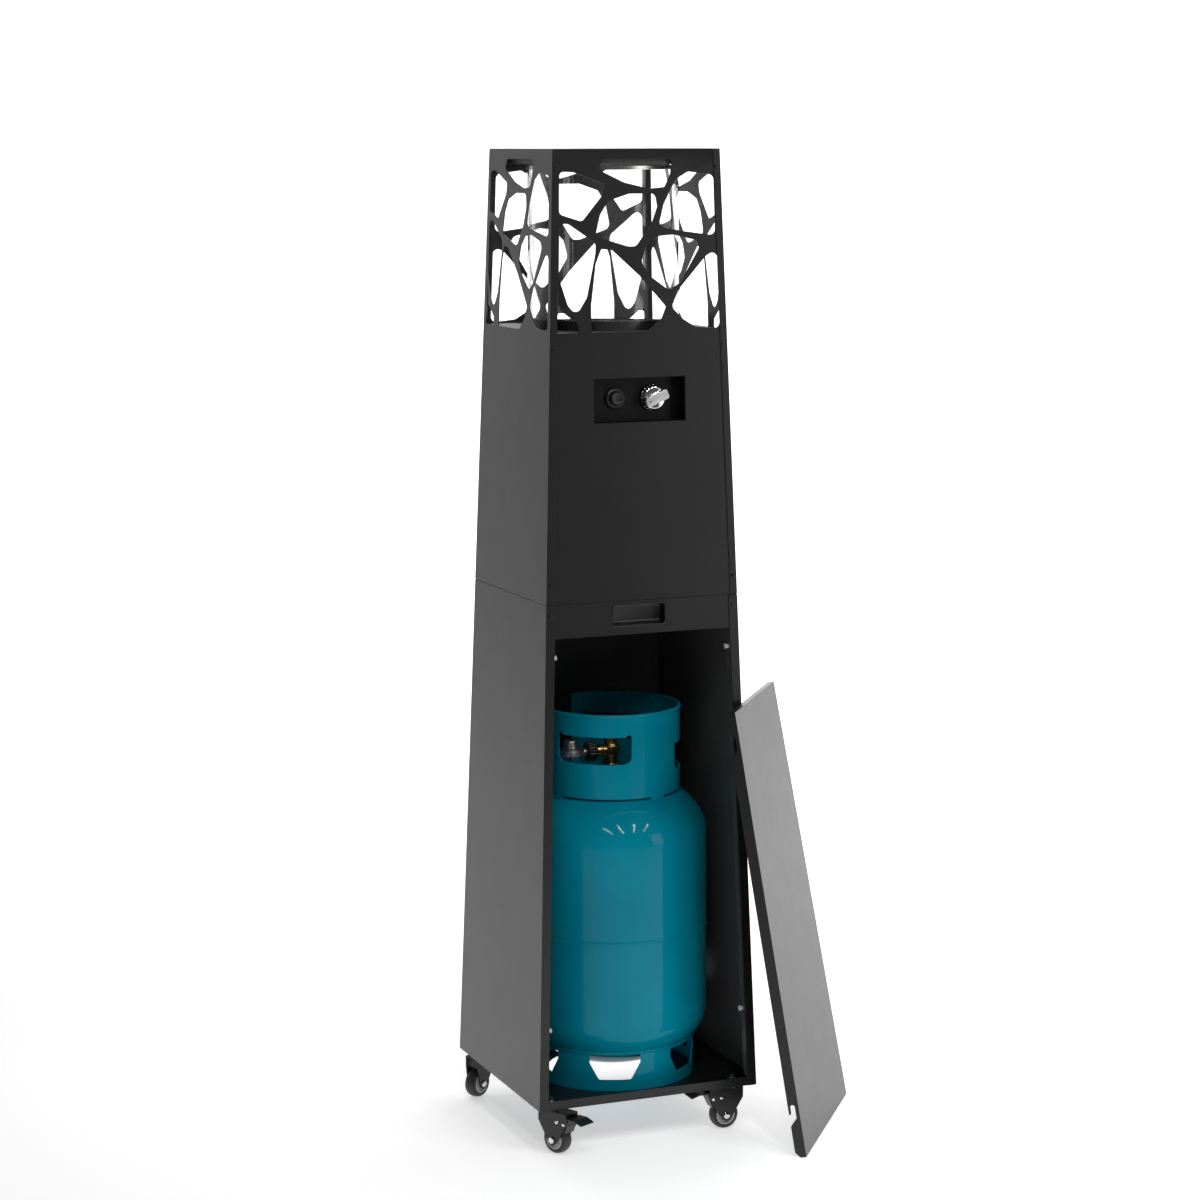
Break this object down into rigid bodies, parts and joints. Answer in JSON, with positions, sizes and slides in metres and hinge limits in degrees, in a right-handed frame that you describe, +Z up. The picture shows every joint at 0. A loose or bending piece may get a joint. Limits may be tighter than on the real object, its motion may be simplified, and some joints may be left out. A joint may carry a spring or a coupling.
{
  "type": "patio gas heater",
  "caption": "Tapered square outdoor gas heater with glass flame tube in a cut-out cage, gas bottle cabinet and casters.",
  "frame": {"origin": "centre of the base plate's underside, on the tower's axis", "axes": "+Z up along the tower's axis, -Y the front with the controls and the doorway, +X the side where the door leans"},
  "size_m": [0.5583, 0.4993, 1.467],
  "materials": {
    "black_coat": "fine satin black powder coat",
    "black_steel": "black painted caster steel",
    "bright_steel": "bright stainless steel",
    "zinc": "zinc plated steel",
    "teal_paint": "gloss teal enamel",
    "brass": "machined brass",
    "die_cast": "cast zinc alloy",
    "black_plastic": "black moulded plastic",
    "chrome": "chrome plate",
    "heat_glass": "clear heat-proof glass",
    "tyre_rubber": "black caster tyre",
    "grey_plastic": "grey moulded hub",
    "ceramic": "glazed ceramic insulator"
  },
  "bodies": {
    "tower": {"base_tray": "black_coat", "cabinet_left_panel": "black_coat", "cabinet_right_panel": "black_coat", "cabinet_back_panel": "black_coat", "front_rail": "black_coat", "seam_deck": "black_coat", "housing_left_panel": "black_coat", "housing_right_panel": "black_coat", "housing_front_panel": "black_coat", "housing_back_panel": "black_coat", "top_lid": "black_coat", "burner_deck": "black_coat", "heat_shield": "black_coat", "control_recess": "black_coat", "pull_cup": "black_plastic", "igniter_body": "black_plastic", "tilt_switch": "black_plastic", "door_hang_pins": "zinc", "caster_stems": "zinc", "caster_nuts": "zinc", "thermocouple": "zinc", "panel_screws": "black_steel", "burner_pan": "bright_steel", "burner_plate": "bright_steel", "glass_top_ring": "bright_steel", "pilot_burner": "bright_steel", "burner_pipe": "bright_steel", "igniter_electrode": "ceramic", "glass_tube": "heat_glass", "gas_valve": "brass"},
    "door": {"door_panel": "black_coat"},
    "bottle": {"bottle_tank": "teal_paint", "bottle_foot_ring": "teal_paint", "bottle_valve_guard": "teal_paint", "bottle_valve": "brass", "gas_regulator": "die_cast", "union_nut": "black_plastic"},
    "handwheel": {"bottle_handwheel": "black_plastic"},
    "button": {"igniter_button": "black_plastic"},
    "push_collar": {"spindle_collar": "zinc"},
    "knob": {"valve_spindle": "zinc", "control_knob": "chrome"},
    "swivel_front_left": {"caster_fork_front_left": "black_steel", "caster_axle_front_left": "zinc"},
    "wheel_front_left": {"caster_tyre_front_left": "tyre_rubber", "caster_hub_front_left": "grey_plastic"},
    "swivel_front_right": {"caster_fork_front_right": "black_steel", "caster_axle_front_right": "zinc"},
    "wheel_front_right": {"caster_tyre_front_right": "tyre_rubber", "caster_hub_front_right": "grey_plastic"},
    "swivel_back_left": {"caster_fork_back_left": "black_steel", "caster_axle_back_left": "zinc"},
    "wheel_back_left": {"caster_tyre_back_left": "tyre_rubber", "caster_hub_back_left": "grey_plastic"},
    "swivel_back_right": {"caster_fork_back_right": "black_steel", "caster_axle_back_right": "zinc"},
    "wheel_back_right": {"caster_tyre_back_right": "tyre_rubber", "caster_hub_back_right": "grey_plastic"},
    "pedal_front_left": {"brake_pedal_front_left": "black_steel"},
    "pedal_front_right": {"brake_pedal_front_right": "black_steel"}
  },
  "joints": [
    {"name": "door_lay_down", "type": "hinge", "parent": "tower", "child": "door", "pos_m": [0.2822, -0.1997, -0.06841], "axis": [0.6083, 0.7937, 0], "range_deg": [0, 100]},
    {"name": "bottle_draw_out", "type": "slide", "parent": "tower", "child": "bottle", "axis": [-0.0398, -0.939, 0.3415], "range_m": [0, 0.125]},
    {"name": "handwheel_turn", "type": "hinge", "parent": "bottle", "child": "handwheel", "pos_m": [0.0068, -0.0107, 0.537], "axis": [0, 0, 1], "range_deg": [0, 540]},
    {"name": "igniter_press", "type": "slide", "parent": "tower", "child": "button", "axis": [0, 1, 0], "range_m": [0, 0.004], "stiffness_N_per_m": 500, "springref_m": -0.002},
    {"name": "knob_press", "type": "slide", "parent": "tower", "child": "push_collar", "axis": [0, 1, 0], "range_m": [0, 0.003], "stiffness_N_per_m": 1200, "springref_m": -0.002},
    {"name": "knob_turn", "type": "hinge", "parent": "push_collar", "child": "knob", "pos_m": [0.028, -0.125, 1.0385], "axis": [0, -1, 0], "range_deg": [0, 180]},
    {"name": "swivel_front_left", "type": "hinge", "parent": "tower", "child": "swivel_front_left", "pos_m": [-0.147, -0.147, -0.005], "axis": [0, 0, 1], "continuous": true},
    {"name": "roll_front_left", "type": "hinge", "parent": "swivel_front_left", "child": "wheel_front_left", "pos_m": [-0.14064, -0.15947, -0.048], "axis": [0.891, 0.454, 0], "continuous": true},
    {"name": "brake_front_left", "type": "hinge", "parent": "swivel_front_left", "child": "pedal_front_left", "pos_m": [-0.13066, -0.17908, -0.02], "axis": [0.891, 0.454, 0], "range_deg": [0, 14]},
    {"name": "swivel_front_right", "type": "hinge", "parent": "tower", "child": "swivel_front_right", "pos_m": [0.147, -0.147, -0.005], "axis": [0, 0, 1], "continuous": true},
    {"name": "roll_front_right", "type": "hinge", "parent": "swivel_front_right", "child": "wheel_front_right", "pos_m": [0.133, -0.147, -0.048], "axis": [0, -1, 0], "continuous": true},
    {"name": "brake_front_right", "type": "hinge", "parent": "swivel_front_right", "child": "pedal_front_right", "pos_m": [0.111, -0.147, -0.02], "axis": [0, -1, 0], "range_deg": [0, 14]},
    {"name": "swivel_back_left", "type": "hinge", "parent": "tower", "child": "swivel_back_left", "pos_m": [-0.147, 0.147, -0.005], "axis": [0, 0, 1], "continuous": true},
    {"name": "roll_back_left", "type": "hinge", "parent": "swivel_back_left", "child": "wheel_back_left", "pos_m": [-0.159, 0.13979, -0.048], "axis": [0.515, -0.8572, 0], "continuous": true},
    {"name": "swivel_back_right", "type": "hinge", "parent": "tower", "child": "swivel_back_right", "pos_m": [0.147, 0.147, -0.005], "axis": [0, 0, 1], "continuous": true},
    {"name": "roll_back_right", "type": "hinge", "parent": "swivel_back_right", "child": "wheel_back_right", "pos_m": [0.15847, 0.15503, -0.048], "axis": [-0.5736, 0.8192, 0], "continuous": true}
  ]
}
